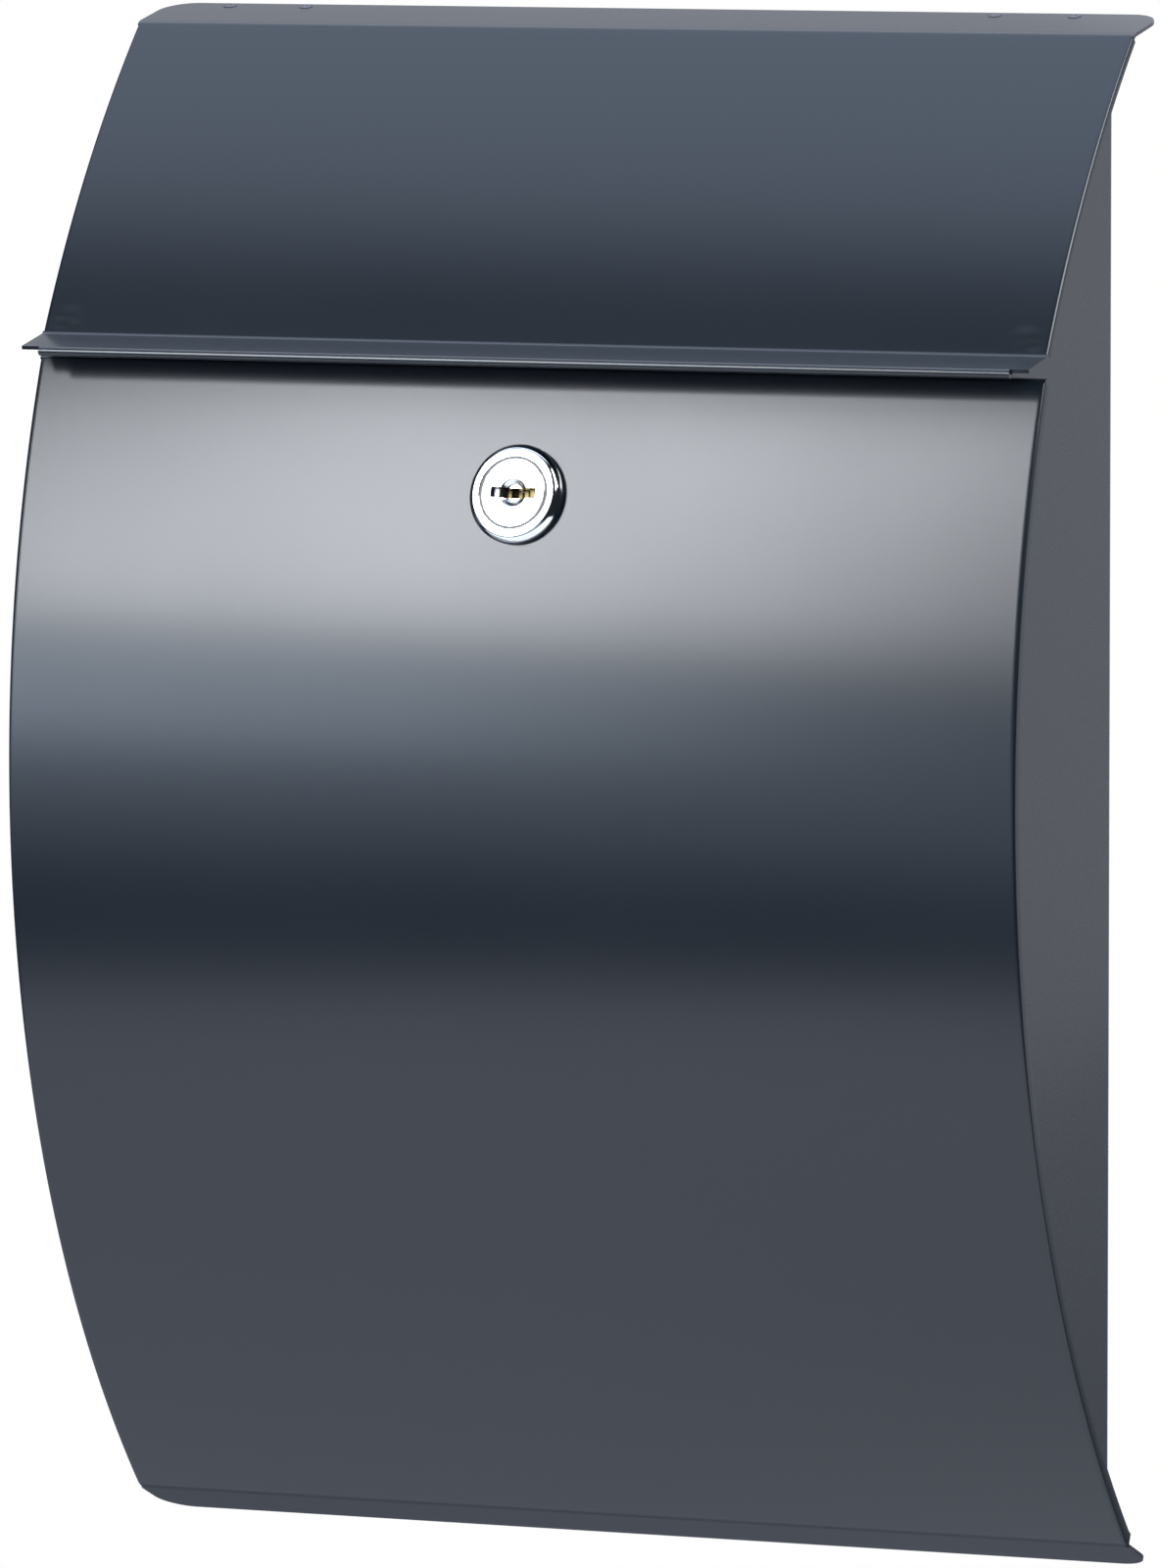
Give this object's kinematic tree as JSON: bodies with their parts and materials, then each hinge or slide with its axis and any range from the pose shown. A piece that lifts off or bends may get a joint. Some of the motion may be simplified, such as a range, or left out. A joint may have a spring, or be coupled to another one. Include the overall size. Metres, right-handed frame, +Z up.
{
  "type": "wall mounted mailbox",
  "caption": "Wall mounted steel mailbox with a curved front, a top-hinged mail flap over the slot and a bottom-hinged door with a cam lock.",
  "frame": {"origin": "centre of the rear face of the back wall, which lies flat on the house wall", "axes": "+X to the right seen from the front, +Y into the wall so the front faces -Y, +Z up"},
  "size_m": [0.3, 0.1055, 0.424],
  "materials": {
    "anthracite_coat": "anthracite powder coat, semi-gloss and finely textured",
    "polished_chrome": "polished, with a turned chamfer",
    "plug_metal": "satin turned face with a keyway",
    "zinc_steel": "zinc plated",
    "blackened_steel": "dark coated rivet"
  },
  "bodies": {
    "body": {"body_shell": "anthracite_coat", "roof_panel": "anthracite_coat", "floor_panel": "anthracite_coat", "slot_crossbar": "anthracite_coat", "crossbar_rivet_1": "blackened_steel", "crossbar_rivet_2": "blackened_steel", "crossbar_rivet_3": "blackened_steel", "crossbar_rivet_4": "blackened_steel", "top_hinge_bracket_left": "zinc_steel", "top_hinge_pin_left": "zinc_steel", "top_hinge_bracket_right": "zinc_steel", "top_hinge_pin_right": "zinc_steel", "bottom_hinge_bracket_left": "zinc_steel", "bottom_hinge_pin_left": "zinc_steel", "bottom_hinge_bracket_right": "zinc_steel", "bottom_hinge_pin_right": "zinc_steel", "roof_rivet_1": "blackened_steel", "roof_rivet_2": "blackened_steel", "roof_rivet_3": "blackened_steel", "roof_rivet_4": "blackened_steel", "floor_rivet_1": "blackened_steel", "floor_rivet_2": "blackened_steel", "floor_rivet_3": "blackened_steel", "floor_rivet_4": "blackened_steel"},
    "flap": {"flap_panel": "anthracite_coat", "top_hinge_leaf_left": "zinc_steel", "top_hinge_leaf_right": "zinc_steel", "flap_rivet_1": "blackened_steel", "flap_rivet_2": "blackened_steel", "flap_rivet_3": "blackened_steel", "flap_rivet_4": "blackened_steel"},
    "door": {"door_panel": "anthracite_coat", "bottom_hinge_leaf_left": "zinc_steel", "bottom_hinge_leaf_right": "zinc_steel", "lock_housing": "polished_chrome", "lock_washer": "zinc_steel", "lock_nut": "zinc_steel"},
    "lock_rotor": {"lock_plug": "plug_metal", "lock_cam": "zinc_steel", "cam_screw": "zinc_steel"}
  },
  "joints": [
    {"name": "flap_hinge", "type": "hinge", "parent": "body", "child": "flap", "pos_m": [0, -0.01128, 0.20488], "axis": [-1, 0, 0], "range_deg": [0, 75]},
    {"name": "door_hinge", "type": "hinge", "parent": "body", "child": "door", "pos_m": [0, -0.01476, -0.20666], "axis": [1, 0, 0], "range_deg": [0, 90]},
    {"name": "lock_turn", "type": "hinge", "parent": "door", "child": "lock_rotor", "pos_m": [0, -0.09563, 0.081], "axis": [0, 0.9685, -0.249], "range_deg": [0, 90]}
  ]
}
